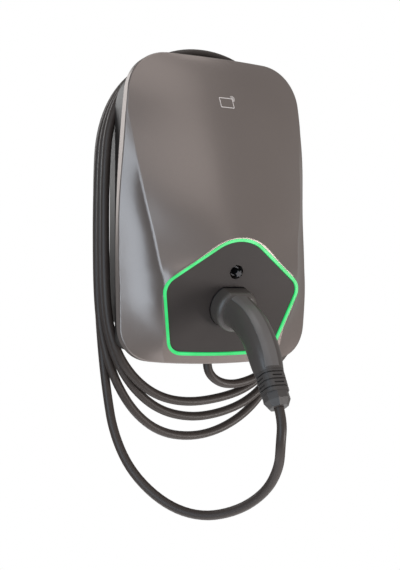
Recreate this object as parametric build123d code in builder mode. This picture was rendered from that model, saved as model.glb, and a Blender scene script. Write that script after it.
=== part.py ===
"""Wall-mounted charging station for electric cars, with its plug parked in the front.

Millimetres. +Z is up, the front faces -Y and the wall is the plane Y = 0. The
origin is the centre of the four wall screws, level with the middle of the cover.
Depths are measured from the wall towards the viewer, so a depth d lies at Y = -d.
"""

import os
from math import atan, cos, degrees, pi, radians, sin, sqrt, tan

from build123d import *

os.makedirs("parts", exist_ok=True)

# Cover
cover_height = 400.0
cover_width = 278.0
cover_stand_off = 82.0
cover_front_rise = 80.5
cover_wall = 3.2
cover_side_bow_radius = 2000.0
cover_widest_drop = 265.0
cover_bottom_bow_radius = 1000.0
cover_top_corner_radius = 57.0
cover_bottom_corner_radius = 45.0
cover_edge_radius = 2.4
cover_crease_radius = 6.0
crease_zone_share = 0.9
cover_boss_radius = 4.3
cover_boss_gap = 0.3

# Sloped panel with the light ring: drops and heights as shares of the cover's
# height, widths as shares of its half width, the rise as a share of the front's,
# the slope as a share of that rise over the height
panel_slope_share = 1.907
panel_drop_share = 0.6075
panel_rise_share = 0.984
point_height_share = 0.0325
shoulder_drop_share = 0.1488
shoulder_width_share = 0.712
foot_drop_share = 0.379
foot_width_share = 0.5475
lock_drop_share = 0.1065
nose_drop_share = 0.22
ring_foot_bow = 3.2
ring_point_radius = 54.0
ring_shoulder_radius = 22.0
ring_foot_radius = 22.0
ring_width = 4.2
ring_stand_proud = 0.4
ring_depth = 3.4
insert_gap = 0.15

# Fascia inside the ring
fascia_recess = 1.2
fascia_back = 6.0
fascia_ledge = 1.8
fascia_edge_radius = 0.6
led_count = 28
led_length = 3.2
led_width = 1.6
led_height = 1.1
led_window_margin = 0.6
led_board_thickness = 1.6
led_board_reach = 9.0

# Lock screw in its round recess
lock_recess_radius = 9.3
lock_recess_depth = 9.0
lock_boss_wall = 2.6
lock_floor = 3.0
lock_head_radius = 6.2
lock_head_height = 4.0
lock_stud_proud = 5.5
lock_stud_radius = 3.5
lock_lobe_radius = 1.3
lock_lobe_count = 6
lock_shank_radius = 3.0
lock_shank_length = 14.0
lock_nut_radius = 6.2
lock_nut_height = 5.0
screw_gap = 0.2

# Plug nose and its holster
nose_radius = 27.8
nose_flat_height = 24.0
nose_length = 38.0
nose_wall = 2.4
nose_base = 8.0
holster_gap = 0.8
holster_wall = 2.5
holster_depth = 41.0
holster_floor = 2.5
holster_drain_radius = 3.0
holster_flange_width = 84.0
holster_flange_height = 62.0
holster_flange_thickness = 2.5
holster_flange_corner = 8.0
fascia_hole_gap = 1.8
carrier_radius = 21.5
carrier_flat_height = 17.5
carrier_recess = 4.0
power_pitch_radius = 11.5
power_contact_radius = 3.4
signal_contact_radius = 2.2
signal_spread = 7.6
signal_height = 9.0
contact_wall = 0.7
contact_length = 20.0

# Plug handle
collar_radius = 29.0
collar_flat_height = 24.6
collar_length = 22.0
collar_edge_radius = 8.0
collar_seat = 0.5
handle_run = 27.6
handle_bend_radius = 105.0
handle_turn = 41.0
handle_tail = 23.5
handle_bend_steps = 4
handle_root_width = 52.0
handle_root_height = 45.0
handle_root_run = 14.0
handle_neck_width = 41.5
handle_neck_height = 40.5
handle_waist_width = 37.0
handle_waist_height = 38.0
handle_end_size = 33.0
handle_corner_share = 0.42
inlay_side = -4.0
inlay_width = 17.0
inlay_flare = 5.0
inlay_start_run = 15.0
inlay_rise = 0.9
inlay_thickness = 2.6
inlay_end_gap = 2.5
relief_length = 27.0
relief_size = 31.0
relief_corner = 11.0
relief_groove_width = 1.8
relief_groove_depth = 2.0
relief_groove_count = 3
relief_slot_length = 13.0
nut_length = 17.0
nut_straight = 9.0
nut_sides = 8
nut_radius = 16.4
nut_end_radius = 11.8
nut_recess = 4.0

# Cable
cable_radius = 6.0
cable_gap = 0.3

# Rear housing (the hub that carries the cable) and the front block
housing_wall = 3.0
block_half_width = 127.0
block_top = 192.0
block_bottom = -182.0
block_top_corner = 64.0
block_bottom_corner = 18.0
block_back_depth = 52.0
block_seam = 1.5
spigot_inset = 7.0
spigot_reach = 6.5
hub_half_width = 114.0
hub_crown = 209.0
hub_crown_radius = 122.0
hub_bottom = -168.0
hub_corner_radius = 45.0
hub_shoulder_radius = 60.0
gasket_thickness = 3.0
gasket_gap = 0.1
gasket_reach = 3.5

# Wall plate and its screws
plate_thickness = 2.5
plate_inset = 5.0
wall_screw_spacing_x = 160.0
wall_screw_spacing_z = 280.0
wall_screw_hole_radius = 3.25
wall_screw_access_radius = 7.0
fixing_half_spread = 64.0
fixing_height = 152.0
fixing_radius = 2.5
fixing_head_radius = 4.6
fixing_head_height = 2.8

# Screws that hold the cover, driven from behind
cover_screw_radius = 2.0
cover_screw_head_radius = 3.6
cover_screw_head_height = 2.4
cover_screw_bite = 9.0
cover_screw_post_radius = 5.0
cover_screw_side = 118.6
cover_screw_heights = (70.0, -40.0)
cover_screw_low_side = 112.0
cover_screw_low_height = -162.0

# Boards and what stands on them
board_thickness = 1.6
board_width = 186.0
board_height = 226.0
board_middle = 6.0
board_corner = 4.0
standoff_height = 9.5
standoff_radius = 4.0
board_screw_inset = 7.0
board_screw_radius = 1.5
board_screw_head_radius = 2.9
board_screw_head_height = 2.0
board_screw_length = 8.0
relay_width = 32.0
relay_height = 27.0
relay_depth = 38.0
relay_side = -58.0
relay_level = 52.0
relay_pitch = 40.0
supply_width = 62.0
supply_height = 46.0
supply_depth = 26.0
supply_side = 48.0
supply_level = 66.0
sensor_outer_radius = 18.0
sensor_inner_radius = 9.5
sensor_depth = 22.0
sensor_side = 44.0
sensor_level = -46.0
part_edge_radius = 1.5
terminal_width = 60.0
terminal_height = 28.0
terminal_depth = 34.0
terminal_side = 14.0
terminal_level = -140.0
terminal_ways = 5
terminal_screw_radius = 3.0
terminal_mouth = 7.0
reader_width = 74.0
reader_height = 50.0
reader_level = 138.0
reader_stand_off = 24.0
reader_post_radius = 3.0
reader_post_inset = 5.0

# Cable gland in the floor of the front block, and the supply entry in the back
gland_thread_radius = 8.0
gland_flange_radius = 12.0
gland_flange_height = 5.0
gland_thread_reach = 12.0
gland_cap_radius = 10.2
gland_cap_height = 9.0
gland_cap_edge = 2.0
gland_mouth = 4.0
locknut_radius = 11.0
locknut_height = 4.0
gland_bore_radius = 6.3
entry_side = -40.0
entry_level = -140.0
entry_radius = 12.0
entry_lip = 3.0
entry_lip_height = 2.0
entry_bore_radius = 7.0

# One overrun serves all cuts
overrun = 10.0

half_height = cover_height / 2
half_width = cover_width / 2
panel_tilt = degrees(atan(panel_slope_share * cover_front_rise / cover_height))
panel_top_drop = cover_height * panel_drop_share
panel_top_rise = cover_front_rise * panel_rise_share
ring_point_height = cover_height * point_height_share
ring_shoulder_drop = cover_height * shoulder_drop_share
ring_shoulder_half_width = half_width * shoulder_width_share
ring_foot_drop = cover_height * foot_drop_share
ring_foot_half_width = half_width * foot_width_share
lock_drop = cover_height * lock_drop_share
nose_drop = cover_height * nose_drop_share
block_front_depth = cover_stand_off - block_seam
spigot_front_depth = block_front_depth + spigot_reach
gasket_depth = block_front_depth + gasket_reach
gland_depth = (block_back_depth + block_front_depth) / 2
reader_depth = cover_stand_off + reader_stand_off
block_back_inner = block_back_depth + housing_wall
block_front_inner = block_front_depth - housing_wall
hub_back = plate_thickness
hub_back_inner = hub_back + housing_wall
hub_front_inner = block_back_depth - housing_wall


def front(depth):
    """Plane parallel to the wall, facing the viewer, at a depth from the wall."""
    return Plane.XZ.offset(depth)


def bow(radius, reach):
    """Sagitta of an arc of this radius at a half chord of this reach."""
    return radius - sqrt(radius**2 - reach**2)


def make_cover_outline(inset=0.0):
    """Front view of the cover: flat top, bowed sides and bottom, round corners."""
    half = half_width - inset
    top = half_height - inset
    widest = half_height - cover_widest_drop

    def side_at(level):
        return half - bow(cover_side_bow_radius - inset, level - widest)

    top_x = side_at(top)
    low_z = -top + bow(cover_bottom_bow_radius - inset, side_at(-top))
    low_x = side_at(low_z)
    with BuildSketch() as outline:
        with BuildLine():
            Line((-top_x, top), (top_x, top))
            ThreePointArc((top_x, top), (half, widest), (low_x, low_z))
            ThreePointArc((low_x, low_z), (0, -top), (-low_x, low_z))
            ThreePointArc((-low_x, low_z), (-half, widest), (-top_x, top))
        make_face()
        corners = outline.vertices().sort_by(Axis.Y)
        fillet(corners[-2:], cover_top_corner_radius - inset)
        corners = outline.vertices().filter_by(lambda v: v.Y < 0).sort_by(lambda v: abs(v.X))
        fillet(corners[-2:], cover_bottom_corner_radius - inset)
    return outline.sketch


# The sculpted face is a loft of level sections. Each section has a bowed front
# between two creases and a hollow flank that runs out past the rim. A row gives
# shares: the drop from the top as a share of the height, then half widths as
# shares of half the cover's width and rises as shares of the front's full rise.
# Columns: drop, crown rise, spread of the crown's bow as a share of the crease,
# crease half width and rise, foot of the flank half width and rise, rise at the
# outer end of the flank.
face_shares = (
    (-0.0125, 0.155, 0.333, 1.026, 0.001, 1.062, -0.053, -0.108),
    (0.0625, 0.348, 0.333, 0.994, 0.066, 1.043, -0.012, -0.096),
    (0.155, 0.470, 0.333, 0.955, 0.149, 1.014, 0.050, -0.082),
    (0.36, 0.714, 0.28, 0.869, 0.333, 0.942, 0.209, -0.043),
    (0.5925, 0.993, 0.15, 0.771, 0.542, 0.829, 0.257, 0.029),
    (0.645, 1.055, -0.03, 0.749, 0.591, 0.815, 0.273, 0.047),
    (0.6925, 1.112, 0.08, 0.729, 0.639, 0.804, 0.283, 0.063),
    (0.75, 1.174, 0.5, 0.705, 0.683, 0.789, 0.299, 0.083),
    (0.8, 1.180, 0.333, 0.688, 0.658, 0.749, 0.329, 0.077),
    (0.855, 1.093, 0.333, 0.643, 0.553, 0.691, 0.354, 0.062),
    (0.9125, 0.944, 0.333, 0.601, 0.441, 0.662, 0.335, 0.040),
    (0.9625, 0.795, 0.333, 0.565, 0.348, 0.655, 0.248, 0.034),
    (1.012, 0.646, 0.333, 0.525, 0.255, 0.647, 0.155, 0.056),
)
flank_end_share = 1.094
flank_pull_share = 0.35


def blend(start, end, share):
    """Point at a share of the way between two plane points."""
    return tuple(a + share * (b - a) for a, b in zip(start, end))


def make_face_form(inset=0.0):
    """The cover's sculpted face as a solid, set back and narrowed by an inset."""
    narrowing = 1 - inset / half_width
    base = cover_stand_off / 2
    end_x = half_width * flank_end_share * narrowing

    with BuildPart() as form:
        for drop, crown, spread, crease_w, crease, foot_w, foot, end in face_shares:
            def spot(width_share, rise_share):
                rise = rise_share * cover_front_rise - inset
                return (width_share * half_width * narrowing, -(cover_stand_off + rise))

            ridge = spot(crease_w, crease)
            brow = spot(spread * crease_w, crown + (crown - crease) / 3)
            hollow = spot(foot_w, foot)
            rim = (end_x, spot(0, end)[1])
            outer = blend(hollow, rim, flank_pull_share)
            inner = blend(hollow, ridge, flank_pull_share)
            flank = (rim, outer, inner, ridge)
            mirrored = [(-x, y) for x, y in (brow, *reversed(flank))]
            with BuildSketch(Plane.XY.offset(half_height - drop * cover_height)):
                with BuildLine():
                    Bezier(*flank)
                    Bezier(ridge, brow, *mirrored[:2])
                    Bezier(*mirrored[1:])
                    Polyline(mirrored[-1], (-end_x, -base), (end_x, -base), rim)
                make_face()
        loft()
    return form.part


def on_crease(edge):
    """Whether an edge is a long one between the bowed front and a flank."""
    reach = abs(edge.center().X)
    return edge.length > half_height and half_width / 2 < reach < half_width * crease_zone_share


def make_panel(back=0.0):
    """The sloped panel's plane, with its origin at the top point of the ring."""
    tilt = radians(panel_tilt)
    plane = Plane(
        origin=(0, -(cover_stand_off + panel_top_rise), half_height - panel_top_drop),
        x_dir=(1, 0, 0),
        z_dir=(0, -cos(tilt), -sin(tilt)),
    )
    return plane.offset(-back)


def make_ring_outline(grow=0.0):
    """The light ring's centre line as a filled five-sided shape, grown or shrunk."""
    foot_top = -ring_foot_drop
    with BuildSketch() as outline:
        with BuildLine():
            Polyline(
                (-ring_foot_half_width, foot_top),
                (-ring_shoulder_half_width, -ring_shoulder_drop),
                (0, ring_point_height),
                (ring_shoulder_half_width, -ring_shoulder_drop),
                (ring_foot_half_width, foot_top),
            )
            ThreePointArc(
                (ring_foot_half_width, foot_top),
                (0, foot_top - ring_foot_bow),
                (-ring_foot_half_width, foot_top),
            )
        make_face()
        by_height = outline.vertices().sort_by(Axis.Y)
        fillet(by_height[-1], ring_point_radius)
        wide = outline.vertices().sort_by(lambda v: abs(v.X))[-2:]
        fillet(wide, ring_shoulder_radius)
        low = outline.vertices().sort_by(Axis.Y)[:2]
        fillet(low, ring_foot_radius)
        if grow:
            offset(amount=grow, kind=Kind.INTERSECTION)
    return outline.sketch


def make_keyed_circle(radius, flat_height):
    """Circle with a flat cut at its top, which keys the plug."""
    with BuildSketch() as outline:
        Circle(radius)
        with Locations((0, flat_height)):
            Rectangle(2 * radius, radius, align=(Align.CENTER, Align.MIN), mode=Mode.SUBTRACT)
    return outline.sketch


def make_nose_outline(grow=0.0):
    """Round plug nose with its flat top, grown or shrunk all round."""
    return make_keyed_circle(nose_radius + grow, nose_flat_height + grow)


panel = make_panel()
nose_plane = Plane(panel.from_local_coords((0, -nose_drop, 0)), x_dir=panel.x_dir, z_dir=panel.z_dir)
lock_plane = Plane(panel.from_local_coords((0, -lock_drop, 0)), x_dir=panel.x_dir, z_dir=panel.z_dir)

cover_screw_spots = [
    (side * cover_screw_side, level) for side in (-1, 1) for level in cover_screw_heights
] + [(side * cover_screw_low_side, cover_screw_low_height) for side in (-1, 1)]
reader_post_spots = [
    (
        side * (reader_width / 2 - reader_post_inset),
        reader_level + end * (reader_height / 2 - reader_post_inset),
    )
    for side in (-1, 1)
    for end in (-1, 1)
]

# Front cover
cover_deep = cover_stand_off + 2 * cover_front_rise
boss_start = block_front_depth + cover_boss_gap + housing_wall

with BuildPart() as cover_hollow:
    add(make_face_form(cover_wall))
    with BuildSketch(front(cover_stand_off - overrun)):
        add(make_cover_outline(cover_wall))
    extrude(amount=cover_deep, mode=Mode.INTERSECT)
    split(bisect_by=make_panel(cover_wall), keep=Keep.BOTTOM)
    with BuildSketch(front(boss_start)):
        with Locations(*cover_screw_spots):
            Circle(cover_boss_radius)
    extrude(amount=cover_deep, mode=Mode.SUBTRACT)
    with BuildSketch(front(reader_depth + board_thickness)):
        with Locations(*reader_post_spots):
            Circle(reader_post_radius)
    extrude(amount=cover_deep, mode=Mode.SUBTRACT)

with BuildPart() as cover_form:
    add(make_face_form())
    with BuildSketch(front(cover_stand_off)):
        add(make_cover_outline())
    extrude(amount=cover_deep, mode=Mode.INTERSECT)
    split(bisect_by=panel, keep=Keep.BOTTOM)
    fillet(cover_form.edges().filter_by(on_crease), cover_crease_radius)
    sharp_edges = cover_form.edges().filter_by(
        lambda e: e.center().Y < -(cover_stand_off + cover_wall) and not on_crease(e)
    )
    fillet(sharp_edges, cover_edge_radius)

with BuildPart() as front_cover:
    add(cover_form.part)
    add(cover_hollow.part, mode=Mode.SUBTRACT)
    with BuildSketch(panel.offset(overrun)):
        add(make_ring_outline(ring_width / 2))
    extrude(amount=-2 * overrun, mode=Mode.SUBTRACT)
    with BuildSketch(front(boss_start)):
        with Locations(*cover_screw_spots):
            Circle(cover_screw_radius)
    extrude(amount=cover_screw_bite + overrun / 2, mode=Mode.SUBTRACT)

# Light guide: a ring of clear plastic that stands a little proud of the panel
with BuildPart() as light_guide:
    with BuildSketch(panel.offset(ring_stand_proud)):
        add(make_ring_outline(ring_width / 2 - insert_gap))
        add(make_ring_outline(-ring_width / 2), mode=Mode.SUBTRACT)
    extrude(amount=-(ring_stand_proud + ring_depth))
    lit_edges = light_guide.faces().sort_by(lambda f: panel.to_local_coords(f.center()).Z)[-1].edges()
    fillet(lit_edges, ring_stand_proud)

# Fascia inside the ring, with a ledge that carries the light guide
ring_path = make_ring_outline().edges()
led_spots = []
ring_wire = Wire(ring_path)
for index in range(led_count):
    led_spots.append(ring_wire.location_at(index / led_count, frame_method=FrameMethod.FRENET))


def on_panel(location, back):
    """Plane on the panel, turned along the ring at one place of its centre line."""
    spot = location.position
    ahead = location.z_axis.direction
    origin = panel.from_local_coords((spot.X, spot.Y, -back))
    along = panel.from_local_coords((spot.X + ahead.X, spot.Y + ahead.Y, -back)) - origin
    return Plane(origin, x_dir=along, z_dir=panel.z_dir)


with BuildPart() as fascia_panel:
    with BuildSketch(panel.offset(-fascia_recess)):
        add(make_ring_outline(-ring_width / 2 - insert_gap))
    extrude(amount=-(fascia_back - fascia_recess))
    face_edges = fascia_panel.faces().sort_by(lambda f: panel.to_local_coords(f.center()).Z)[-1].edges()
    fillet(face_edges, fascia_edge_radius)
    with BuildSketch(panel.offset(-ring_depth)):
        add(make_ring_outline(fascia_ledge))
    extrude(amount=-(fascia_back - ring_depth))
    with BuildSketch(lock_plane.offset(-fascia_back)):
        Circle(lock_recess_radius + lock_boss_wall)
    extrude(amount=-(lock_recess_depth + lock_floor + fascia_recess - fascia_back))
    with BuildSketch(lock_plane.offset(-fascia_recess)):
        Circle(lock_recess_radius)
    extrude(amount=-lock_recess_depth, mode=Mode.SUBTRACT)
    with BuildSketch(lock_plane):
        Circle(lock_shank_radius + screw_gap)
    extrude(amount=-2 * lock_recess_depth, mode=Mode.SUBTRACT)
    with BuildSketch(nose_plane):
        add(make_nose_outline(fascia_hole_gap))
    extrude(amount=-2 * fascia_back, mode=Mode.SUBTRACT)
    for led in led_spots:
        with BuildSketch(on_panel(led, ring_depth)):
            Rectangle(led_length + led_window_margin, led_width + led_window_margin)
        extrude(amount=-fascia_back, mode=Mode.SUBTRACT)

# Ring-shaped board with its lamps in the windows of the ledge
with BuildPart() as led_board:
    with BuildSketch(panel.offset(-fascia_back)):
        add(make_ring_outline(fascia_ledge))
        add(make_ring_outline(-led_board_reach), mode=Mode.SUBTRACT)
    extrude(amount=-led_board_thickness)
    for led in led_spots:
        with BuildSketch(on_panel(led, fascia_back)):
            Rectangle(led_length, led_width)
        extrude(amount=led_height)

# Lock screw with a lobed stud, and its nut
with BuildPart() as lock_screw:
    seat = lock_plane.offset(-fascia_recess - lock_recess_depth)
    with BuildSketch(seat):
        Circle(lock_head_radius)
    extrude(amount=lock_head_height)
    with BuildSketch(seat):
        Circle(lock_stud_radius)
        with PolarLocations(lock_stud_radius, lock_lobe_count):
            Circle(lock_lobe_radius)
    extrude(amount=fascia_recess + lock_recess_depth + lock_stud_proud)
    stud_edges = lock_screw.faces().sort_by(lambda f: lock_plane.to_local_coords(f.center()).Z)[-1].edges()
    chamfer(stud_edges, lock_lobe_radius / 3)
    with BuildSketch(seat):
        Circle(lock_shank_radius)
    extrude(amount=-lock_shank_length)

with BuildPart() as lock_nut:
    with BuildSketch(lock_plane.offset(-fascia_recess - lock_recess_depth - lock_floor)):
        RegularPolygon(lock_nut_radius, 6)
        Circle(lock_shank_radius, mode=Mode.SUBTRACT)
    extrude(amount=-lock_nut_height)

# Holster behind the fascia
with BuildPart() as holster:
    with BuildSketch(nose_plane.offset(-fascia_back)):
        RectangleRounded(holster_flange_width, holster_flange_height, holster_flange_corner)
    extrude(amount=-holster_flange_thickness)
    with BuildSketch(nose_plane.offset(-fascia_back)):
        add(make_nose_outline(holster_gap + holster_wall))
    extrude(amount=-(holster_depth + holster_floor - fascia_back))
    with BuildSketch(nose_plane.offset(-fascia_back)):
        add(make_nose_outline(holster_gap))
    extrude(amount=-(holster_depth - fascia_back), mode=Mode.SUBTRACT)
    with BuildSketch(nose_plane.offset(-holster_depth)):
        with Locations((0, -nose_radius / 2)):
            Circle(holster_drain_radius)
    extrude(amount=-holster_wall - overrun, mode=Mode.SUBTRACT)

# Plug nose, the carrier inside it and its seven contacts
with BuildPart() as plug_nose:
    with BuildSketch(nose_plane.offset(collar_seat)):
        add(make_nose_outline())
    extrude(amount=-(collar_seat + nose_length))
    with BuildSketch(nose_plane.offset(-nose_base)):
        add(make_nose_outline(-nose_wall))
    extrude(amount=-nose_length, mode=Mode.SUBTRACT)

power_spots = [
    (power_pitch_radius * cos(radians(angle)), power_pitch_radius * sin(radians(angle)))
    for angle in (180, 0, 225, 315)
] + [(0, 0)]
signal_spots = [(-signal_spread, signal_height), (signal_spread, signal_height)]
carrier_back = nose_base
carrier_front = nose_length - carrier_recess

with BuildPart() as contact_carrier:
    with BuildSketch(nose_plane.offset(-carrier_back)):
        add(make_keyed_circle(carrier_radius, carrier_flat_height))
        with Locations(*power_spots):
            Circle(power_contact_radius, mode=Mode.SUBTRACT)
        with Locations(*signal_spots):
            Circle(signal_contact_radius, mode=Mode.SUBTRACT)
    extrude(amount=-(carrier_front - carrier_back))

with BuildPart() as plug_contacts:
    with BuildSketch(nose_plane.offset(-carrier_back)):
        with Locations(*power_spots):
            Circle(power_contact_radius)
        with Locations(*signal_spots):
            Circle(signal_contact_radius)
        with Locations(*power_spots):
            Circle(power_contact_radius - contact_wall, mode=Mode.SUBTRACT)
        with Locations(*signal_spots):
            Circle(signal_contact_radius - contact_wall, mode=Mode.SUBTRACT)
    extrude(amount=-contact_length)


def handle_plane(run, turn=0.0, tail=0.0):
    """Plane square to the handle's centre line, which bends down after its run."""
    angle = radians(panel_tilt + turn)
    ahead = Vector(0, -cos(angle), -sin(angle))
    start = nose_plane.origin + nose_plane.z_dir * run
    across = handle_bend_radius * sin(radians(turn))
    down = handle_bend_radius * (1 - cos(radians(turn)))
    spot = start + nose_plane.z_dir * across - nose_plane.y_dir * down + ahead * tail
    return Plane(spot, x_dir=(1, 0, 0), z_dir=ahead)


def make_bend_planes():
    """Planes spaced evenly along the handle's bend."""
    turns = [handle_turn * step / handle_bend_steps for step in range(handle_bend_steps + 1)]
    return [handle_plane(handle_run, turn) for turn in turns]


def make_handle_stations():
    """Planes along the handle, each with the section's width and height there."""
    stations = [(handle_plane(handle_root_run), handle_root_width, handle_root_height)]
    for step, station in enumerate(make_bend_planes()):
        left_over = (1 - step / handle_bend_steps) ** 2
        width = handle_waist_width + (handle_neck_width - handle_waist_width) * left_over
        height = handle_waist_height + (handle_neck_height - handle_waist_height) * left_over
        stations.append((station, width, height))
    stations.append((handle_plane(handle_run, handle_turn, handle_tail), handle_end_size, handle_end_size))
    return stations


def make_handle_form(grow=0.0):
    """The handle's lofted body, thickened all round by grow."""
    with BuildPart() as form:
        for station, width, height in make_handle_stations():
            corner = handle_corner_share * min(width, height) + grow
            with BuildSketch(station):
                RectangleRounded(width + 2 * grow, height + 2 * grow, corner)
        loft()
    return form.part


# Soft grip let into the upper side of the handle
with BuildPart() as inlay_zone:
    reach = handle_root_height
    zone_stations = [handle_plane(inlay_start_run), *make_bend_planes()]
    zone_stations.append(handle_plane(handle_run, handle_turn, handle_tail - inlay_end_gap))
    for place_index, station in enumerate(zone_stations):
        flare = inlay_flare * max(0, 1 - place_index / 2)
        with BuildSketch(station):
            with Locations((inlay_side, 0)):
                Rectangle(inlay_width + flare, reach, align=(Align.CENTER, Align.MIN))
    loft()

with BuildPart() as grip_inlay:
    add(make_handle_form(inlay_rise))
    add(inlay_zone.part, mode=Mode.INTERSECT)
    add(make_handle_form(inlay_rise - inlay_thickness), mode=Mode.SUBTRACT)

with BuildPart() as plug_body:
    with BuildSketch(nose_plane.offset(collar_seat)):
        add(make_keyed_circle(collar_radius, collar_flat_height))
    extrude(amount=collar_length)
    brim = plug_body.faces().sort_by(lambda f: nose_plane.to_local_coords(f.center()).Z)[-1].edges()
    fillet(brim, collar_edge_radius)
    add(make_handle_form())
    add(grip_inlay.part, mode=Mode.SUBTRACT)

# Ribbed strain relief
relief_plane = handle_plane(handle_run, handle_turn, handle_tail)
relief_pitch = relief_length / relief_groove_count
with BuildPart() as strain_relief:
    with BuildSketch(relief_plane):
        RectangleRounded(relief_size, relief_size, relief_corner)
    extrude(amount=relief_length)
    for groove in range(relief_groove_count):
        with BuildSketch(relief_plane.offset((groove + 1 / 3) * relief_pitch)):
            RectangleRounded(2 * relief_size, 2 * relief_size, relief_corner)
            RectangleRounded(
                relief_size - 2 * relief_groove_depth, relief_size - 2 * relief_groove_depth,
                relief_corner - relief_groove_depth, mode=Mode.SUBTRACT,
            )
        extrude(amount=relief_groove_width, mode=Mode.SUBTRACT)
    for groove in range(relief_groove_count - 1):
        with BuildSketch(relief_plane.offset((groove + 5 / 6) * relief_pitch)):
            with PolarLocations(relief_size / 2, 4):
                Rectangle(2 * relief_groove_depth, relief_slot_length)
        extrude(amount=relief_groove_width, mode=Mode.SUBTRACT)

# Eight-sided cap at the end of the relief
cap_plane = relief_plane.offset(relief_length)
nut_turn = 180 / nut_sides
with BuildPart() as relief_cap:
    with BuildSketch(cap_plane):
        RegularPolygon(nut_radius - cable_gap, nut_sides, rotation=nut_turn)
    with BuildSketch(cap_plane.offset(nut_straight)):
        RegularPolygon(nut_radius, nut_sides, rotation=nut_turn)
    with BuildSketch(cap_plane.offset(nut_length)):
        RegularPolygon(nut_end_radius, nut_sides, rotation=nut_turn)
    loft(ruled=True)
    with BuildSketch(cap_plane.offset(nut_length)):
        Circle(cable_radius + cable_gap)
    extrude(amount=-nut_recess, mode=Mode.SUBTRACT)


def make_block_outline(inset=0.0):
    """Outline of the front block behind the cover."""
    half = block_half_width - inset
    top = block_top - inset
    bottom = block_bottom + inset
    with BuildSketch() as outline:
        with BuildLine():
            Polyline((-half, bottom), (half, bottom), (half, top), (-half, top), close=True)
        make_face()
        fillet(outline.vertices().sort_by(Axis.Y)[-2:], block_top_corner - inset)
        fillet(outline.vertices().sort_by(Axis.Y)[:2], block_bottom_corner - inset)
    return outline.sketch


def make_hub_outline(inset=0.0):
    """Outline of the hub: an arched top for the cable and round lower corners."""
    half = hub_half_width - inset
    crown = hub_crown - inset
    bottom = hub_bottom + inset
    arch_side = crown - bow(hub_crown_radius - inset, half)
    with BuildSketch() as outline:
        with BuildLine():
            ThreePointArc((-half, arch_side), (0, crown), (half, arch_side))
            Polyline((half, arch_side), (half, bottom), (-half, bottom), (-half, arch_side))
        make_face()
        fillet(outline.vertices().sort_by(Axis.Y)[-2:], hub_shoulder_radius - inset)
        fillet(outline.vertices().sort_by(Axis.Y)[:2], hub_corner_radius - inset)
    return outline.sketch


def make_mouth_outline():
    """Opening through which the hub's room and the front block's room meet."""
    with BuildSketch() as outline:
        add(make_hub_outline(housing_wall))
        add(make_block_outline(housing_wall), mode=Mode.INTERSECT)
    return outline.sketch


def make_prism(sketch, back_depth, front_depth):
    """A front-view sketch extruded between two depths from the wall."""
    with BuildPart() as prism:
        with BuildSketch(front(back_depth)):
            add(sketch)
        extrude(amount=front_depth - back_depth)
    return prism.part


standoff_spots = [
    (
        side * (board_width / 2 - board_screw_inset),
        board_middle + end * (board_height / 2 - board_screw_inset),
    )
    for side in (-1, 1)
    for end in (-1, 1)
]
wall_screw_spots = [
    (side * wall_screw_spacing_x / 2, end * wall_screw_spacing_z / 2)
    for side in (-1, 1)
    for end in (-1, 1)
]
fixing_spots = [
    (side * fixing_half_spread, end * fixing_height) for side in (-1, 1) for end in (-1, 1)
]
board_back = hub_back_inner + standoff_height

# Rear housing: the tub that lies against the wall and carries the boards
with BuildPart() as rear_housing:
    add(make_prism(make_hub_outline(), hub_back, block_back_depth))
    hub_room = make_prism(make_hub_outline(housing_wall), hub_back_inner, hub_front_inner)
    add(hub_room, mode=Mode.SUBTRACT)
    add(make_prism(make_mouth_outline(), hub_front_inner, block_back_depth), mode=Mode.SUBTRACT)
    with BuildSketch(front(hub_back_inner)):
        with Locations(*standoff_spots):
            Circle(standoff_radius)
    extrude(amount=standoff_height)
    with BuildSketch(front(board_back)):
        with Locations(*standoff_spots):
            Circle(board_screw_radius)
    extrude(amount=-board_screw_length, mode=Mode.SUBTRACT)
    with BuildSketch(front(hub_back)):
        with Locations(*wall_screw_spots):
            Circle(wall_screw_access_radius)
        with Locations(*fixing_spots):
            Circle(fixing_radius + screw_gap)
        with Locations((entry_side, entry_level)):
            Circle(entry_radius)
    extrude(amount=housing_wall, mode=Mode.SUBTRACT)

# Front frame: the wider block welded to the tub, with the spigot for the cover
with BuildPart() as front_frame:
    add(make_prism(make_block_outline(), block_back_depth, block_front_depth))
    add(make_prism(make_cover_outline(spigot_inset), block_front_inner, spigot_front_depth))
    add(make_prism(make_mouth_outline(), block_back_depth, block_back_inner), mode=Mode.SUBTRACT)
    block_room = make_prism(make_block_outline(housing_wall), block_back_inner, block_front_depth)
    add(block_room, mode=Mode.SUBTRACT)
    spigot_room = make_prism(
        make_cover_outline(spigot_inset + housing_wall), block_front_depth, spigot_front_depth
    )
    add(spigot_room, mode=Mode.SUBTRACT)
    with BuildSketch(front(block_back_depth)):
        with Locations(*cover_screw_spots):
            Circle(cover_screw_post_radius)
    extrude(amount=boss_start - cover_boss_gap - block_back_depth)
    with BuildSketch(front(block_back_depth)):
        with Locations(*cover_screw_spots):
            Circle(cover_screw_radius + screw_gap)
    extrude(amount=spigot_front_depth, mode=Mode.SUBTRACT)
    with BuildSketch(front(block_back_depth)):
        with Locations(*cover_screw_spots):
            Circle(cover_screw_head_radius + screw_gap)
    extrude(amount=cover_screw_head_height, mode=Mode.SUBTRACT)
    with BuildSketch(Plane.XY.offset(block_bottom)):
        with Locations((0, -gland_depth)):
            Circle(gland_thread_radius + screw_gap)
    extrude(amount=housing_wall, mode=Mode.SUBTRACT)

# Wall plate
with BuildPart() as wall_plate:
    add(make_prism(make_hub_outline(plate_inset), 0, plate_thickness))
    with BuildSketch(front(0)):
        with Locations(*wall_screw_spots):
            Circle(wall_screw_hole_radius)
        with Locations(*fixing_spots):
            Circle(fixing_radius)
        with Locations((entry_side, entry_level)):
            Circle(entry_radius + entry_lip + entry_lip_height)
    extrude(amount=plate_thickness, mode=Mode.SUBTRACT)

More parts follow.
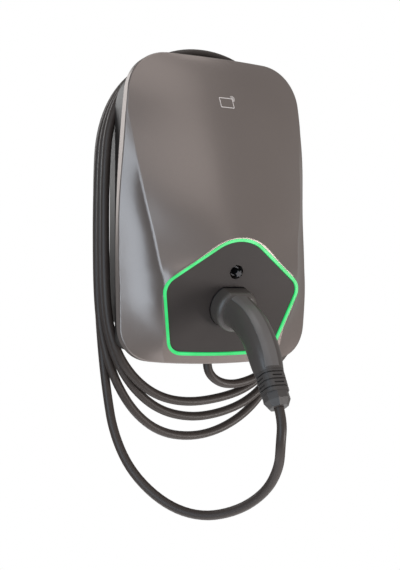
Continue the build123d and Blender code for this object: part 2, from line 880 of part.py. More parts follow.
with BuildPart() as housing_screws:
    with BuildSketch(front(0)):
        with Locations(*fixing_spots):
            Circle(fixing_radius)
    extrude(amount=hub_back_inner)
    with BuildSketch(front(hub_back_inner)):
        with Locations(*fixing_spots):
            Circle(fixing_head_radius)
    extrude(amount=fixing_head_height)

# Gasket between the housing's spigot and the cover's skirt
with BuildPart() as cover_gasket:
    with BuildSketch(front(gasket_depth)):
        add(make_cover_outline(cover_wall + gasket_gap))
        add(make_cover_outline(spigot_inset - gasket_gap), mode=Mode.SUBTRACT)
    extrude(amount=gasket_thickness)

# Cover screws
with BuildPart() as cover_screws:
    with BuildSketch(front(block_back_depth)):
        with Locations(*cover_screw_spots):
            Circle(cover_screw_head_radius)
    extrude(amount=cover_screw_head_height)
    with BuildSketch(front(block_back_depth)):
        with Locations(*cover_screw_spots):
            Circle(cover_screw_radius)
    extrude(amount=boss_start + cover_screw_bite - block_back_depth)

# Main board with what stands on it
board_front = board_back + board_thickness
with BuildPart() as main_board:
    with BuildSketch(front(board_back)):
        with Locations((0, board_middle)):
            RectangleRounded(board_width, board_height, board_corner)
        with Locations(*standoff_spots):
            Circle(board_screw_radius, mode=Mode.SUBTRACT)
    extrude(amount=board_thickness)

with BuildPart() as board_screws:
    with BuildSketch(front(board_front)):
        with Locations(*standoff_spots):
            Circle(board_screw_head_radius)
    extrude(amount=board_screw_head_height)
    with BuildSketch(front(board_front)):
        with Locations(*standoff_spots):
            Circle(board_screw_radius)
    extrude(amount=-board_screw_length)

with BuildPart() as power_relays:
    with BuildSketch(front(board_front)):
        with Locations((relay_side, relay_level), (relay_side, relay_level - relay_pitch)):
            Rectangle(relay_width, relay_height)
    extrude(amount=relay_depth)
    fillet(power_relays.edges().filter_by(Axis.Y), part_edge_radius)

with BuildPart() as power_supply:
    with BuildSketch(front(board_front)):
        with Locations((supply_side, supply_level)):
            Rectangle(supply_width, supply_height)
    extrude(amount=supply_depth)
    fillet(power_supply.edges().filter_by(Axis.Y), part_edge_radius)

with BuildPart() as leak_sensor:
    with BuildSketch(front(board_front)):
        with Locations((sensor_side, sensor_level)):
            Circle(sensor_outer_radius)
            Circle(sensor_inner_radius, mode=Mode.SUBTRACT)
    extrude(amount=sensor_depth)
    chamfer(leak_sensor.faces().sort_by(Axis.Y)[0].edges(), part_edge_radius)

with BuildPart() as terminal_block:
    with BuildSketch(front(hub_back_inner)):
        with Locations((terminal_side, terminal_level)):
            Rectangle(terminal_width, terminal_height)
    extrude(amount=terminal_depth)
    way_pitch = terminal_width / terminal_ways
    terminal_front = hub_back_inner + terminal_depth
    with BuildSketch(front(terminal_front)):
        with Locations((terminal_side, terminal_level)):
            with GridLocations(way_pitch, 1, terminal_ways, 1):
                Circle(terminal_screw_radius)
    extrude(amount=-terminal_mouth, mode=Mode.SUBTRACT)
    with BuildSketch(Plane.XY.offset(terminal_level - terminal_height / 2)):
        with Locations((terminal_side, -(terminal_front - terminal_depth / 2))):
            with GridLocations(way_pitch, 1, terminal_ways, 1):
                Rectangle(terminal_mouth, terminal_mouth)
    extrude(amount=terminal_mouth, mode=Mode.SUBTRACT)

with BuildPart() as card_reader:
    with BuildSketch(front(reader_depth)):
        with Locations((0, reader_level)):
            RectangleRounded(reader_width, reader_height, board_corner)
    extrude(amount=board_thickness)

# Cable gland: body, locknut inside, cap outside and the seal in the cap
gland_base = block_bottom
with BuildPart() as gland_body:
    with BuildSketch(Plane.XY.offset(gland_base)):
        with Locations((0, -gland_depth)):
            Circle(gland_thread_radius)
    extrude(amount=gland_thread_reach)
    with BuildSketch(Plane.XY.offset(gland_base)):
        with Locations((0, -gland_depth)):
            RegularPolygon(gland_flange_radius, 6)
    extrude(amount=-gland_flange_height)
    with BuildSketch(Plane.XY.offset(gland_base + gland_thread_reach)):
        with Locations((0, -gland_depth)):
            Circle(gland_bore_radius)
    extrude(amount=-(gland_thread_reach + gland_flange_height), mode=Mode.SUBTRACT)

with BuildPart() as gland_locknut:
    with BuildSketch(Plane.XY.offset(gland_base + housing_wall)):
        with Locations((0, -gland_depth)):
            RegularPolygon(locknut_radius, 6)
            Circle(gland_thread_radius, mode=Mode.SUBTRACT)
    extrude(amount=locknut_height)

gland_cap_top = gland_base - gland_flange_height
with BuildPart() as gland_cap:
    with BuildSketch(Plane.XY.offset(gland_cap_top)):
        with Locations((0, -gland_depth)):
            Circle(gland_cap_radius)
    extrude(amount=-gland_cap_height)
    chamfer(gland_cap.edges().sort_by(Axis.Z)[0], gland_cap_edge)
    with BuildSketch(Plane.XY.offset(gland_cap_top)):
        with Locations((0, -gland_depth)):
            Circle(cable_radius + cable_gap)
    extrude(amount=-gland_cap_height, mode=Mode.SUBTRACT)

with BuildPart() as gland_seal:
    with BuildSketch(Plane.XY.offset(gland_cap_top)):
        with Locations((0, -gland_depth)):
            Circle(cable_radius + cable_gap)
    extrude(amount=-(gland_cap_height - gland_mouth))

# Rubber grommet of the supply entry in the back of the housing
with BuildPart() as supply_grommet:
    with BuildSketch(front(hub_back)):
        with Locations((entry_side, entry_level)):
            Circle(entry_radius)
    extrude(amount=housing_wall)
    with BuildSketch(front(hub_back_inner)):
        with Locations((entry_side, entry_level)):
            Circle(entry_radius + entry_lip)
    extrude(amount=entry_lip_height)
    with BuildSketch(front(hub_back)):
        with Locations((entry_side, entry_level)):
            Circle(entry_radius + entry_lip)
    extrude(amount=-entry_lip_height)
    with BuildSketch(front(0)):
        with Locations((entry_side, entry_level)):
            Circle(entry_bore_radius)
    extrude(amount=hub_back_inner + entry_lip_height, mode=Mode.SUBTRACT)

# Route of the charging cable, from the gland four times round the hub to the plug.
# Each row is a corner of the route: X, depth from the wall and height.
gland_exit = (0, gland_depth, gland_cap_top - gland_cap_height + gland_mouth)
plug_exit_plane = cap_plane.offset(nut_length - nut_recess)
plug_exit = (0, -plug_exit_plane.origin.Y, plug_exit_plane.origin.Z)
plug_exit_run = 20.0
plug_lead = plug_exit_plane.origin + plug_exit_plane.z_dir * plug_exit_run
cable_route = [
    gland_exit,
    (0, gland_depth, -207), (6.5, 66, -219), (19.5, 64.5, -227.5), (37, 62.5, -231.5),
    (59, 60, -230), (85, 57, -222.5), (115.5, 54, -207), (141, 52, -182), (151, 51, -141),
    (150, 50, -85), (145, 48, -3), (139, 45.7, 78), (129, 45.2, 138), (103, 45.2, 181),
    (62, 45.2, 209), (17, 45.2, 220), (-31, 45.2, 216), (-77, 45.2, 195),
    (-113, 45.2, 159), (-133, 45, 110),
    (-138, 45, 48), (-138.5, 45, -30), (-137, 45, -104), (-131.5, 44.5, -153),
    (-117, 44, -193), (-90, 43, -226), (-56, 41, -247), (-15, 39, -255.5),
    (29, 37, -253), (72, 35, -244), (108, 33.5, -224), (133, 32.8, -191), (143, 32.6, -143),
    (145, 32.6, -85), (143, 32.6, -2), (139, 32.6, 80), (130, 32.6, 140), (104, 32.6, 184),
    (63, 32.6, 210), (18, 32.5, 219.5), (-31, 32.5, 215), (-77, 32.5, 194),
    (-113, 32.5, 157), (-133.5, 32.3, 107),
    (-138, 32.3, 44), (-138.5, 32.3, -36), (-136.5, 32.3, -110), (-129, 32, -159),
    (-114, 31, -201), (-88, 29.5, -238), (-51, 27.5, -266), (-4, 25, -278),
    (42, 23, -275), (86, 21.5, -262), (121, 20.5, -237), (142, 20, -198), (148, 20, -147),
    (147.5, 20, -87), (144, 20, -4), (139, 20, 78), (129, 20, 139), (103, 20, 183),
    (62, 20, 209), (17, 20, 219.5), (-31, 19.9, 215), (-77, 19.8, 193),
    (-113, 19.7, 156), (-133.5, 19.6, 104),
    (-138, 19.6, 41), (-138.8, 19.6, -40), (-137, 19.6, -122), (-129, 20.2, -178),
    (-112, 20.2, -227), (-83, 18.5, -270), (-44, 15.5, -297.5), (4, 13, -306.5),
    (49, 11, -300), (92, 9, -280), (126, 7.8, -249), (147, 7.3, -206), (152, 7.1, -153),
    (151, 7.1, -89), (146, 7, -4), (139, 7, 78), (128, 7, 138), (101, 7, 181),
    (60, 7, 208), (15, 7, 219), (-32, 7, 214), (-78, 7, 192), (-112, 7, 154),
    (-130.5, 7, 103),
    (-133.4, 7, 41), (-133, 7, -39), (-131, 6.5, -118), (-126, 6.5, -184),
    (-121, 11, -240), (-117, 24, -292), (-103, 49, -340), (-74, 87, -377),
    (-43, 129, -389), (-13, 170, -376), (6, 204, -349), (8, 230, -316), (-2, 249, -284),
    (0, -plug_lead.Y, plug_lead.Z),
    plug_exit,
]


corner_run_share = 0.45


def corner_radii(corners):
    """As large an arc at each corner as its two runs allow."""
    radii = []
    for before, here, after in zip(corners, corners[1:], corners[2:]):
        arriving = here - before
        leaving = after - here
        half_turn = radians(arriving.get_angle(leaving)) / 2
        radii.append(corner_run_share * min(arriving.length, leaving.length) / tan(half_turn))
    return radii


cable_corners = [Vector(x, -depth, z) for x, depth, z in cable_route]
cable_radii = corner_radii(cable_corners)

with BuildPart() as charging_cable:
    with BuildLine() as cable_path:
        FilletPolyline(*cable_corners, radius=cable_radii)
    with BuildSketch(Plane(cable_corners[0], z_dir=cable_corners[1] - cable_corners[0])):
        Circle(cable_radius)
    sweep()

cable_length = sum(edge.length for edge in cable_path.edges())
print("cable length", round(cable_length), "tightest", round(min(cable_radii)))
print("cable radii", [round(radius) for radius in cable_radii])
print("volume over section times length", charging_cable.part.volume / (pi * cable_radius**2 * cable_length))

sub_parts = {
    "wall_plate": wall_plate,
    "housing_screws": housing_screws,
    "rear_housing": rear_housing,
    "front_frame": front_frame,
    "cover_gasket": cover_gasket,
    "cover_screws": cover_screws,
    "front_cover": front_cover,
    "light_guide": light_guide,
    "led_board": led_board,
    "fascia_panel": fascia_panel,
    "lock_screw": lock_screw,
    "lock_nut": lock_nut,
    "holster": holster,
    "main_board": main_board,
    "board_screws": board_screws,
    "power_relays": power_relays,
    "power_supply": power_supply,
    "leak_sensor": leak_sensor,
    "terminal_block": terminal_block,
    "card_reader": card_reader,
    "gland_body": gland_body,
    "gland_locknut": gland_locknut,
    "gland_cap": gland_cap,
    "gland_seal": gland_seal,
    "supply_grommet": supply_grommet,
    "plug_nose": plug_nose,
    "contact_carrier": contact_carrier,
    "plug_contacts": plug_contacts,
    "plug_body": plug_body,
    "grip_inlay": grip_inlay,
    "strain_relief": strain_relief,
    "relief_cap": relief_cap,
    "charging_cable": charging_cable,
}
for name, sub_part in sub_parts.items():
    sub_part.part.label = name
    export_step(sub_part.part, f"parts/{name}.step")
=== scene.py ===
import math

import bmesh
import bpy
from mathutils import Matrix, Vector
from mathutils.bvhtree import BVHTree


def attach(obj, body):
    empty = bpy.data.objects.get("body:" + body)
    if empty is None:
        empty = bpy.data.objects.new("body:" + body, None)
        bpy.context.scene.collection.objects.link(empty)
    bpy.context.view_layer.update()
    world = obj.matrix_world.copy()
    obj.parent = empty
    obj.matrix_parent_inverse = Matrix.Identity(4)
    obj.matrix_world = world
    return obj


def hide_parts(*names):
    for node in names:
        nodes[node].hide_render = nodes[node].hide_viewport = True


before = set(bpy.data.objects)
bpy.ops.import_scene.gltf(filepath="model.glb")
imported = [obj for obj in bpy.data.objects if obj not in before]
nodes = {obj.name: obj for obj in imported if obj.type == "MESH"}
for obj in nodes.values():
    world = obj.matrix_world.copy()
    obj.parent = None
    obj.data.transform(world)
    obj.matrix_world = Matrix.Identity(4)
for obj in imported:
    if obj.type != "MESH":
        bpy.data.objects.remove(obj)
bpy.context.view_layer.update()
scene = bpy.context.scene

# Camera, fitted to the photograph; places are in metres
photo_height = 570
focal_px = 913.0
camera_spot = Vector((-0.5813, -1.1397, -0.1226))
camera_aim = Vector((0.4694, 0.8828, 0.0209))
sensor_height = 36.0
camera_reach = 50.0
camera_data = bpy.data.cameras.new("camera")
camera_data.sensor_fit = "VERTICAL"
camera_data.sensor_height = sensor_height
camera_data.lens = focal_px / photo_height * camera_data.sensor_height
camera_data.clip_end = camera_reach
camera = bpy.data.objects.new("camera", camera_data)
camera.location = camera_spot
camera.rotation_euler = camera_aim.to_track_quat("-Z", "Y").to_euler()
scene.collection.objects.link(camera)
scene.camera = camera


# Materials: where mottling turns from its dark to its light tone, as shares of the noise
dark_share = 0.3
light_share = 0.7
mottle_scale = 14.0
mottle_detail = 4.0
grain_detail = 2.0
grain_strength = 0.35
sheen_spread = 0.06

# How sRGB values turn into linear ones
srgb_top = 255
srgb_knee = 0.04045
srgb_low_slope = 12.92
srgb_offset = 0.055
srgb_power = 2.4


class Look:
    """One procedural material, built up with small helpers."""

    def __init__(self, name):
        self.material = bpy.data.materials.new(name)
        self.material.use_nodes = True
        self.tree = self.material.node_tree
        self.shader = self.tree.nodes["Principled BSDF"]
        self.coords = self.tree.nodes.new("ShaderNodeTexCoord")

    def node(self, kind, **settings):
        made = self.tree.nodes.new(kind)
        for key, value in settings.items():
            setattr(made, key, value)
        return made

    def link(self, source, target):
        self.tree.links.new(source, target)

    def set(self, **values):
        for key, value in values.items():
            self.shader.inputs[key.replace("_", " ")].default_value = value
        return self

    def noise(self, scale, detail=3.0, roughness=0.5, stretch=None):
        texture = self.node("ShaderNodeTexNoise")
        texture.inputs["Scale"].default_value = scale
        texture.inputs["Detail"].default_value = detail
        texture.inputs["Roughness"].default_value = roughness
        if stretch:
            mapping = self.node("ShaderNodeMapping")
            mapping.inputs["Scale"].default_value = stretch
            self.link(self.coords.outputs["Object"], mapping.inputs["Vector"])
            self.link(mapping.outputs["Vector"], texture.inputs["Vector"])
        else:
            self.link(self.coords.outputs["Object"], texture.inputs["Vector"])
        return texture.outputs["Fac"]

    def ramp(self, factor, stops):
        made = self.node("ShaderNodeValToRGB")
        elements = made.color_ramp.elements
        while len(elements) < len(stops):
            elements.new(0.5)
        for element, (place, colour) in zip(elements, stops):
            element.position = place
            element.color = colour
        self.link(factor, made.inputs["Fac"])
        return made.outputs["Color"]

    def colour_from(self, factor, stops):
        self.link(self.ramp(factor, stops), self.shader.inputs["Base Color"])
        return self

    def roughness_from(self, factor, low, high):
        spread = self.node("ShaderNodeMapRange")
        spread.inputs["To Min"].default_value = low
        spread.inputs["To Max"].default_value = high
        self.link(factor, spread.inputs["Value"])
        self.link(spread.outputs["Result"], self.shader.inputs["Roughness"])
        return self

    def bump_from(self, factor, strength, distance):
        bump = self.node("ShaderNodeBump")
        bump.inputs["Strength"].default_value = strength
        bump.inputs["Distance"].default_value = distance
        self.link(factor, bump.inputs["Height"])
        self.link(bump.outputs["Normal"], self.shader.inputs["Normal"])
        return self


def grey(red, green, blue):
    """An sRGB colour, 0 to 255, as the linear values the shader takes."""
    def linear(value):
        value = value / srgb_top
        if value <= srgb_knee:
            return value / srgb_low_slope
        return ((value + srgb_offset) / (1 + srgb_offset)) ** srgb_power
    return (linear(red), linear(green), linear(blue), 1.0)


def moulded(name, colour, rough=0.5, grain=1400.0, depth=0.00006, contrast=0.12, **sockets):
    """Moulded plastic or rubber: fine spark-eroded grain, a little mottling, uneven sheen."""
    look = Look(name)
    soft = look.noise(mottle_scale, detail=mottle_detail)
    fine = look.noise(grain, detail=grain_detail)
    dark = tuple(c * (1 - contrast) for c in colour[:3]) + (1.0,)
    light = tuple(c * (1 + contrast) for c in colour[:3]) + (1.0,)
    look.colour_from(soft, [(dark_share, dark), (light_share, light)])
    look.roughness_from(soft, rough - sheen_spread, rough + sheen_spread)
    look.bump_from(fine, grain_strength, depth)
    return look.set(**sockets)


def painted_cover():
    """Satin metallic lacquer: fine flakes under a soft clear coat."""
    flake_scale = 5200.0
    cloud_scale = 5.0
    flake_share = 0.75
    cloud_share = 0.25
    look = Look("cover_lacquer")
    flakes = look.noise(flake_scale, detail=1.0)
    cloud = look.noise(cloud_scale, detail=2.0)
    mixed = look.node("ShaderNodeMath", operation="MULTIPLY_ADD")
    mixed.inputs[1].default_value = flake_share
    look.link(flakes, mixed.inputs[0])
    clouded = look.node("ShaderNodeMath", operation="MULTIPLY")
    clouded.inputs[1].default_value = cloud_share
    look.link(cloud, clouded.inputs[0])
    look.link(clouded.outputs["Value"], mixed.inputs[2])
    look.colour_from(
        mixed.outputs["Value"], [(0.38, grey(122, 112, 108)), (0.62, grey(138, 128, 123))]
    )
    look.roughness_from(cloud, 0.30, 0.35)
    look.bump_from(flakes, 0.10, 0.00004)
    return look.set(Metallic=0.7, Coat_Weight=0.2, Coat_Roughness=0.2)


def glowing_ring():
    """Milky light guide that glows green, a little unevenly."""
    look = Look("ring_glow")
    uneven = look.noise(45.0, detail=1.0)
    look.colour_from(uneven, [(dark_share, grey(20, 120, 62)), (light_share, grey(36, 140, 78))])
    glow = look.ramp(
        uneven, [(dark_share, grey(26, 222, 108)), (light_share, grey(60, 236, 130))]
    )
    look.link(glow, look.shader.inputs["Emission Color"])
    look.bump_from(look.noise(900.0), 0.1, 0.00004)
    return look.set(Roughness=0.35, Emission_Strength=0.68)


def brushed(name, colour, stretch, rough=0.32):
    """Machined or brushed metal with fine parallel lines."""
    look = Look(name)
    lines = look.noise(60.0, detail=5.0, roughness=0.7, stretch=stretch)
    dark = tuple(c * 0.8 for c in colour[:3]) + (1.0,)
    look.colour_from(lines, [(dark_share, dark), (light_share, colour)])
    look.roughness_from(lines, rough - 0.08, rough + 0.1)
    look.bump_from(lines, 0.15, 0.00003)
    return look.set(Metallic=1.0)


def circuit_board(name):
    """Green solder mask with paler tracks in a grid below it."""
    look = Look(name)
    brick = look.node("ShaderNodeTexBrick")
    brick.inputs["Scale"].default_value = 90.0
    brick.inputs["Mortar Size"].default_value = 0.06
    brick.inputs["Color1"].default_value = (0.010, 0.085, 0.035, 1)
    brick.inputs["Color2"].default_value = (0.012, 0.10, 0.042, 1)
    brick.inputs["Mortar"].default_value = (0.03, 0.17, 0.07, 1)
    turned = look.node("ShaderNodeMapping")
    turned.inputs["Rotation"].default_value = (math.pi / 2, 0, 0)
    look.link(look.coords.outputs["Object"], turned.inputs["Vector"])
    look.link(turned.outputs["Vector"], brick.inputs["Vector"])
    look.link(brick.outputs["Color"], look.shader.inputs["Base Color"])
    look.bump_from(brick.outputs["Fac"], 0.2, 0.00005)
    return look.set(Roughness=0.35, Coat_Weight=0.3, Coat_Roughness=0.15)


def cable_sheath():
    """Extruded sheath: dark brown-grey, faintly clouded, with a satin sheen."""
    look = Look("cable_sheath")
    cloud = look.noise(9.0, detail=3.0)
    fine = look.noise(1600.0, detail=2.0)
    look.colour_from(cloud, [(dark_share, grey(56, 48, 44)), (light_share, grey(66, 57, 53))])
    look.roughness_from(cloud, 0.38, 0.45)
    look.bump_from(fine, 0.15, 0.00003)
    return look.set(Specular_IOR_Level=0.35)


def housing_shell(name):
    """Dark satin shell of the housing, of which the tub and the front frame are made."""
    return moulded(
        name, grey(44, 40, 38), rough=0.42, grain=900.0, depth=0.00004,
        Coat_Weight=0.1, Coat_Roughness=0.3,
    )


looks = {
    "front_cover": painted_cover(),
    "light_guide": glowing_ring(),
    "fascia_panel": moulded(
        "fascia", grey(60, 54, 52), rough=0.5, grain=2200.0, depth=0.00008, Specular_IOR_Level=0.2
    ),
    "rear_housing": housing_shell("tub_gloss"),
    "front_frame": housing_shell("frame_gloss"),
    "holster": moulded("holster_dark", grey(34, 33, 33), rough=0.55),
    "plug_body": moulded("plug_shell", grey(72, 66, 63), rough=0.36, grain=1900.0),
    "plug_nose": moulded("plug_nose", grey(52, 50, 50), rough=0.4, grain=1900.0),
    "grip_inlay": moulded("grip_rubber", grey(100, 95, 93), rough=0.32, grain=1500.0),
    "strain_relief": moulded("relief_rubber", grey(66, 61, 59), rough=0.45, grain=1500.0),
    "relief_cap": moulded("relief_cap", grey(68, 63, 61), rough=0.4, grain=1500.0),
    "contact_carrier": moulded("carrier", grey(50, 50, 52), rough=0.5),
    "plug_contacts": brushed("contact_metal", (0.78, 0.74, 0.66, 1), (1, 8, 1), rough=0.25),
    "lock_screw": brushed("screw_black", (0.05, 0.05, 0.053, 1), (8, 1, 8), rough=0.42),
    "lock_nut": brushed("nut_steel", (0.5, 0.5, 0.52, 1), (8, 1, 8)),
    "wall_plate": brushed("plate_steel", (0.62, 0.63, 0.65, 1), (1, 1, 14), rough=0.4),
    "housing_screws": brushed("housing_screw_steel", (0.55, 0.55, 0.57, 1), (8, 1, 8)),
    "cover_screws": brushed("cover_screw_steel", (0.55, 0.55, 0.57, 1), (8, 1, 8)),
    "board_screws": brushed("board_screw_steel", (0.6, 0.6, 0.62, 1), (8, 1, 8)),
    "cover_gasket": moulded("gasket_foam", grey(38, 38, 38), rough=0.8, grain=900.0),
    "gland_body": moulded("gland_body", grey(60, 58, 57), rough=0.45),
    "gland_cap": moulded("gland_cap", grey(64, 62, 61), rough=0.42),
    "gland_locknut": moulded("gland_locknut", grey(60, 58, 57), rough=0.45),
    "gland_seal": moulded("gland_seal", grey(40, 40, 40), rough=0.7),
    "supply_grommet": moulded("grommet_rubber", grey(42, 42, 42), rough=0.65),
    "led_board": moulded("led_board_white", grey(225, 228, 225), rough=0.45),
    "main_board": circuit_board("main_board_mask"),
    "card_reader": circuit_board("reader_board_mask"),
    "power_relays": moulded("relay_case", grey(48, 48, 50), rough=0.4),
    "power_supply": moulded("supply_case", grey(66, 66, 70), rough=0.5),
    "leak_sensor": moulded("sensor_case", grey(70, 92, 140), rough=0.4),
    "terminal_block": moulded("terminal_grey", grey(150, 154, 158), rough=0.45),
}
for name, look in looks.items():
    nodes[name].data.materials.clear()
    nodes[name].data.materials.append(look.material)

# The cable's route: the corners of its path, in millimetres, from the gland to the plug
route = [
    (0, -66.25, -192), (0, -66.25, -207), (6.5, -66, -219), (19.5, -64.5, -227.5),
    (37, -62.5, -231.5),
    (59, -60, -230), (85, -57, -222.5), (115.5, -54, -207), (141, -52, -182), (151, -51, -141),
    (150, -50, -85), (145, -48, -3), (139, -45.7, 78), (129, -45.2, 138), (103, -45.2, 181),
    (62, -45.2, 209), (17, -45.2, 220), (-31, -45.2, 216), (-77, -45.2, 195),
    (-113, -45.2, 159), (-133, -45, 110),
    (-138, -45, 48), (-138.5, -45, -30), (-137, -45, -104), (-131.5, -44.5, -153),
    (-117, -44, -193), (-90, -43, -226), (-56, -41, -247), (-15, -39, -255.5),
    (29, -37, -253), (72, -35, -244), (108, -33.5, -224), (133, -32.8, -191),
    (143, -32.6, -143),
    (145, -32.6, -85), (143, -32.6, -2), (139, -32.6, 80), (130, -32.6, 140),
    (104, -32.6, 184),
    (63, -32.6, 210), (18, -32.5, 219.5), (-31, -32.5, 215), (-77, -32.5, 194),
    (-113, -32.5, 157), (-133.5, -32.3, 107),
    (-138, -32.3, 44), (-138.5, -32.3, -36), (-136.5, -32.3, -110), (-129, -32, -159),
    (-114, -31, -201), (-88, -29.5, -238), (-51, -27.5, -266), (-4, -25, -278),
    (42, -23, -275), (86, -21.5, -262), (121, -20.5, -237), (142, -20, -198),
    (148, -20, -147),
    (147.5, -20, -87), (144, -20, -4), (139, -20, 78), (129, -20, 139), (103, -20, 183),
    (62, -20, 209), (17, -20, 219.5), (-31, -19.9, 215), (-77, -19.8, 193),
    (-113, -19.7, 156), (-133.5, -19.6, 104),
    (-138, -19.6, 41), (-138.8, -19.6, -40), (-137, -19.6, -122), (-129, -20.2, -178),
    (-112, -20.2, -227), (-83, -18.5, -270), (-44, -15.5, -297.5), (4, -13, -306.5),
    (49, -11, -300), (92, -9, -280), (126, -7.8, -249), (147, -7.3, -206),
    (152, -7.1, -153),
    (151, -7.1, -89), (146, -7, -4), (139, -7, 78), (128, -7, 138), (101, -7, 181),
    (60, -7, 208), (15, -7, 219), (-32, -7, 214), (-78, -7, 192), (-112, -7, 154),
    (-130.5, -7, 103),
    (-133.4, -7, 41), (-133, -7, -39), (-131, -6.5, -118), (-126, -6.5, -184),
    (-121, -11, -240), (-117, -24, -292), (-103, -49, -340), (-74, -87, -377),
    (-43, -129, -389), (-13, -170, -376), (6, -204, -349), (8, -230, -316),
    (-2, -249, -284), (0, -249.72, -257.5), (0, -240.33, -239.84),
]
mm_per_metre = 1000
cable_radius = 0.006
cable_curve = bpy.data.curves.new("cable", "CURVE")
cable_curve.dimensions = "3D"
spline = cable_curve.splines.new("NURBS")
spline.points.add(len(route) - 1)
for point, (x, y, z) in zip(spline.points, route):
    point.co = (x / mm_per_metre, y / mm_per_metre, z / mm_per_metre, 1)
spline.order_u = 3
spline.use_endpoint_u = True
spline.resolution_u = 6
cable_curve.bevel_depth = cable_radius
cable_curve.bevel_resolution = 5
cable_curve.materials.append(cable_sheath().material)
cable = bpy.data.objects.new("cable", cable_curve)
scene.collection.objects.link(cable)
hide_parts("charging_cable")
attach(cable, "root")


# Smooth shading on the CAD nodes
for node in nodes.values():
    for polygon in node.data.polygons:
        polygon.use_smooth = True


# Card sign over the reader: a thin printed outline that follows the cover's face
cover_tree = BVHTree.FromPolygons(
    [nodes["front_cover"].matrix_world @ v.co for v in nodes["front_cover"].data.vertices],
    [tuple(p.vertices) for p in nodes["front_cover"].data.polygons],
)
sign_middle = (0.0, 0.137)
sign_half_width = 0.0095
sign_half_height = 0.0062
sign_slant = 0.001
sign_corner = 0.0008
sign_line = 0.0011
sign_film = 0.0002
sign_step = 0.001
wave_line = 0.0007
wave_radii = (0.0013, 0.0026, 0.0039)
wave_inset = (0.0012, 0.0004)
wave_start = -60
wave_sweep = 190
ray_start = -0.4


def rounded_card(steps=5):
    """Corner points of the card's outline, rounded, about the sign's middle."""
    points = []
    for turn, (side, level) in enumerate(((1, 1), (-1, 1), (-1, -1), (1, -1))):
        for step in range(steps + 1):
            angle = math.pi / 2 * (turn + step / steps)
            x = side * (sign_half_width - sign_corner) + sign_corner * math.cos(angle)
            z = level * (sign_half_height - sign_corner) + sign_corner * math.sin(angle)
            points.append((x - sign_slant * z / sign_half_height, z))
    return points


def even_steps(points, spacing, closed):
    """The same path with extra points, so that it can follow a bowed face."""
    path = []
    ends = points[1:] + points[:1] if closed else points[1:]
    for start, end in zip(points, ends):
        pieces = max(1, math.ceil(math.dist(start, end) / spacing))
        for piece in range(pieces):
            share = piece / pieces
            path.append(tuple(a + share * (b - a) for a, b in zip(start, end)))
    return path if closed else path + [points[-1]]


def wave(radius, steps=10):
    """One of the small arcs at the card's upper right corner."""
    middle = (sign_half_width - wave_inset[0], sign_half_height - wave_inset[1])
    turns = [wave_start + wave_sweep * step / steps for step in range(steps + 1)]
    angles = [math.radians(turn) for turn in turns]
    return [(middle[0] + radius * math.cos(a), middle[1] + radius * math.sin(a)) for a in angles]


def printed_line(made, points, width, closed):
    """A flat band along points, laid on the cover's face."""
    count = len(points)
    rows = []
    for index, (x, z) in enumerate(points):
        before = points[(index - 1) % count] if closed or index else points[0]
        after = points[(index + 1) % count] if closed or index < count - 1 else points[-1]
        along = Vector((after[0] - before[0], after[1] - before[1])).normalized()
        row = []
        for side in (-0.5, 0.5):
            spot_x = sign_middle[0] + x - side * width * along[1]
            spot_z = sign_middle[1] + z + side * width * along[0]
            hit = cover_tree.ray_cast(Vector((spot_x, ray_start, spot_z)), Vector((0, 1, 0)))
            row.append(made.verts.new(hit[0] + sign_film * hit[1]))
        rows.append(row)
    for index in range(count if closed else count - 1):
        (a, b), (c, d) = rows[index], rows[(index + 1) % count]
        made.faces.new((a, c, d, b))


sign_mesh = bpy.data.meshes.new("card_sign")
made = bmesh.new()
printed_line(made, even_steps(rounded_card(), sign_step, True), sign_line, True)
for radius in wave_radii:
    printed_line(made, wave(radius), wave_line, False)
bmesh.ops.recalc_face_normals(made, faces=made.faces)
made.to_mesh(sign_mesh)
made.free()
sign = bpy.data.objects.new("card_sign", sign_mesh)
sign_mesh.materials.append(moulded("sign_ink", grey(205, 196, 192), rough=0.45).material)
scene.collection.objects.link(sign)
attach(sign, "root")


# Floor, light and surroundings
floor_radius = 0.6
floor_level = -0.75
floor_mesh = bpy.data.meshes.new("floor")
made = bmesh.new()
bmesh.ops.create_circle(made, cap_ends=True, segments=64, radius=floor_radius)
made.to_mesh(floor_mesh)
made.free()
floor = bpy.data.objects.new("floor", floor_mesh)
floor.location = (0, 0, floor_level)
scene.collection.objects.link(floor)
floor_look = Look("floor_white")
floor_look.colour_from(
    floor_look.noise(3.0), [(0.0, (0.86, 0.86, 0.86, 1)), (1.0, (0.9, 0.9, 0.9, 1))]
)
floor_look.set(Roughness=0.9, Emission_Color=(1, 1, 1, 1), Emission_Strength=0.85)
floor_mesh.materials.append(floor_look.material)


def softbox(name, spot, aim, size, power, colour):
    """A rectangular light at a spot, facing a point and hidden from the camera."""
    data = bpy.data.lights.new(name, "AREA")
    data.shape = "RECTANGLE"
    data.size, data.size_y = size
    data.energy = power
    data.color = colour
    lamp = bpy.data.objects.new(name, data)
    lamp.location = spot
    lamp.rotation_euler = (Vector(aim) - Vector(spot)).to_track_quat("-Z", "Y").to_euler()
    lamp.visible_camera = False
    scene.collection.objects.link(lamp)


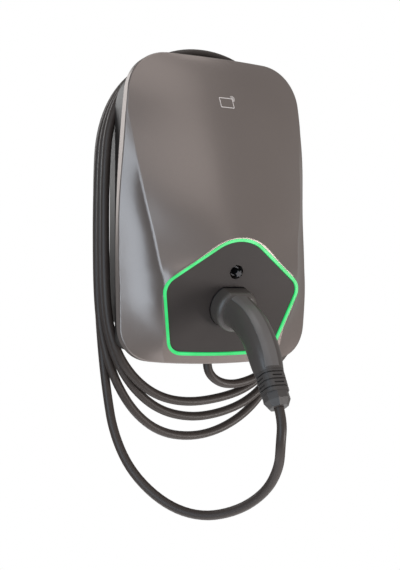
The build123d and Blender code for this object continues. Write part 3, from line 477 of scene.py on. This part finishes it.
# Each light's name, spot, aim, width and height in metres, power in watts, and colour
white = (1, 1, 1)
lights = [
    ("front", (-0.35, -2.4, 2.2), (0, 0, 0.05), (2.6, 1.8), 11, white),
    ("left", (-2.0, -1.3, -0.18), (0, -0.05, 0), (1.6, 2.35), 32, (0.66, 0.84, 1.0)),
    ("top", (0.1, -0.5, 2.0), (0, -0.05, 0.1), (1.4, 0.9), 6, white),
    ("right", (1.7, -1.9, -1.05), (0, -0.05, -0.1), (0.9, 0.9), 34, (1.0, 0.97, 0.95)),
    ("back", (-1.0, 2.2, 1.0), (0, 0, -0.05), (1.6, 1.6), 16, white),
]
for light in lights:
    softbox(*light)

# Surroundings: the camera sees white, and the object mirrors a grey that dims to the back left
bright_side = (0.62, -0.72, 0.31)
dim_facing = -0.45
bright_facing = 0.35
dim_strength = 0.24
bright_strength = 0.46
world = bpy.data.worlds.new("studio")
scene.world = world
world.use_nodes = True
world_nodes = world.node_tree.nodes
world_links = world.node_tree.links
background = world_nodes["Background"]
background.inputs["Color"].default_value = (1, 1, 1, 1)
background.inputs["Strength"].default_value = 1.0
around = world_nodes.new("ShaderNodeBackground")
around.inputs["Color"].default_value = (1, 0.985, 0.97, 1)
direction = world_nodes.new("ShaderNodeTexCoord")
facing = world_nodes.new("ShaderNodeVectorMath")
facing.operation = "DOT_PRODUCT"
facing.inputs[1].default_value = bright_side
level = world_nodes.new("ShaderNodeMapRange")
level.inputs["From Min"].default_value = dim_facing
level.inputs["From Max"].default_value = bright_facing
level.inputs["To Min"].default_value = dim_strength
level.inputs["To Max"].default_value = bright_strength
world_links.new(direction.outputs["Generated"], facing.inputs[0])
world_links.new(facing.outputs["Value"], level.inputs["Value"])
world_links.new(level.outputs["Result"], around.inputs["Strength"])
rays = world_nodes.new("ShaderNodeLightPath")
mix = world_nodes.new("ShaderNodeMixShader")
world_links.new(rays.outputs["Is Camera Ray"], mix.inputs["Fac"])
world_links.new(around.outputs["Background"], mix.inputs[1])
world_links.new(background.outputs["Background"], mix.inputs[2])
world_links.new(mix.outputs["Shader"], world_nodes["World Output"].inputs["Surface"])
scene.view_settings.view_transform = "Standard"
